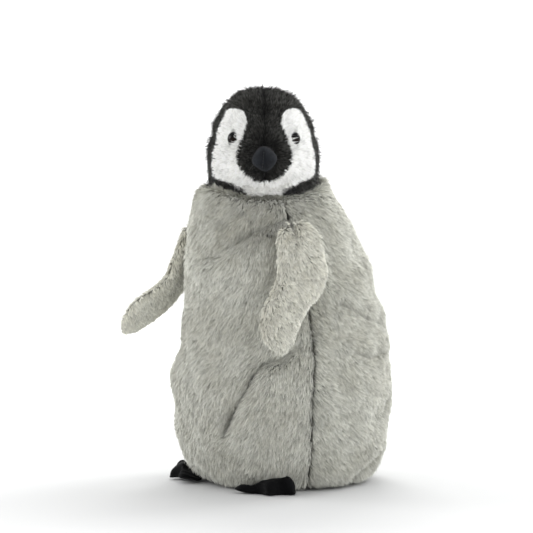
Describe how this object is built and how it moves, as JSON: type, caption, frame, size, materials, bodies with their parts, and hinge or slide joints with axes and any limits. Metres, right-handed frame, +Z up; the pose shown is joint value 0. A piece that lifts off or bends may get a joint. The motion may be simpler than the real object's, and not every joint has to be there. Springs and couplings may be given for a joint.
{
  "type": "plush penguin",
  "caption": "Plush penguin chick standing upright: grey fur body on a flat weighted base, black and white head that turns, two flippers and webbed feet.",
  "frame": {"origin": "middle of the underside of the flat base", "axes": "+Z up, -Y towards the belly, +X towards the penguin's own left"},
  "size_m": [0.2363, 0.2266, 0.38],
  "materials": {
    "grey_fur": "soft pile, combed downward",
    "black_fur": "dense pile with a slight sheen",
    "white_fur": "soft pile",
    "beak_suede": "matt suede cloth",
    "foot_felt": "matt felt",
    "filling": "loose polyester fibre",
    "pouch_cloth": "plain woven cloth round plastic pellets",
    "eye_gloss": "polished",
    "washer_plastic": "moulded"
  },
  "bodies": {
    "body": {"belly_panel": "grey_fur", "back_panel_left": "grey_fur", "back_panel_right": "grey_fur", "base_panel": "grey_fur", "body_filling": "filling", "pellet_pouch": "pouch_cloth", "foot_upper_left": "foot_felt", "foot_sole_left": "foot_felt", "foot_filling_left": "filling", "foot_upper_right": "foot_felt", "foot_sole_right": "foot_felt", "foot_filling_right": "filling"},
    "head": {"head_filling": "filling", "beak_left": "beak_suede", "beak_right": "beak_suede", "beak_filling": "filling", "crown_left": "black_fur", "head_back_left": "black_fur", "face_stripe_left": "black_fur", "cheek_left": "white_fur", "jowl_left": "black_fur", "eye_left": "eye_gloss", "eye_washer_left": "washer_plastic", "crown_right": "black_fur", "head_back_right": "black_fur", "face_stripe_right": "black_fur", "cheek_right": "white_fur", "jowl_right": "black_fur", "eye_right": "eye_gloss", "eye_washer_right": "washer_plastic"},
    "flipper_left": {"flipper_outer_left": "grey_fur", "flipper_inner_left": "grey_fur", "flipper_filling_left": "filling"},
    "flipper_right": {"flipper_outer_right": "grey_fur", "flipper_inner_right": "grey_fur", "flipper_filling_right": "filling"}
  },
  "joints": [
    {"name": "head_turn", "type": "hinge", "parent": "body", "child": "head", "pos_m": [0, -0.028, 0.2833], "axis": [0, 0, 1], "range_deg": [-105, 5]},
    {"name": "flipper_left_lift", "type": "hinge", "parent": "body", "child": "flipper_left", "pos_m": [0.07223, -0.05724, 0.2576], "axis": [-0.4384, -0.8988, 0], "range_deg": [0, 75]},
    {"name": "flipper_right_lift", "type": "hinge", "parent": "body", "child": "flipper_right", "pos_m": [-0.07223, -0.05724, 0.2576], "axis": [-0.4384, 0.8988, 0], "range_deg": [0, 75]}
  ]
}
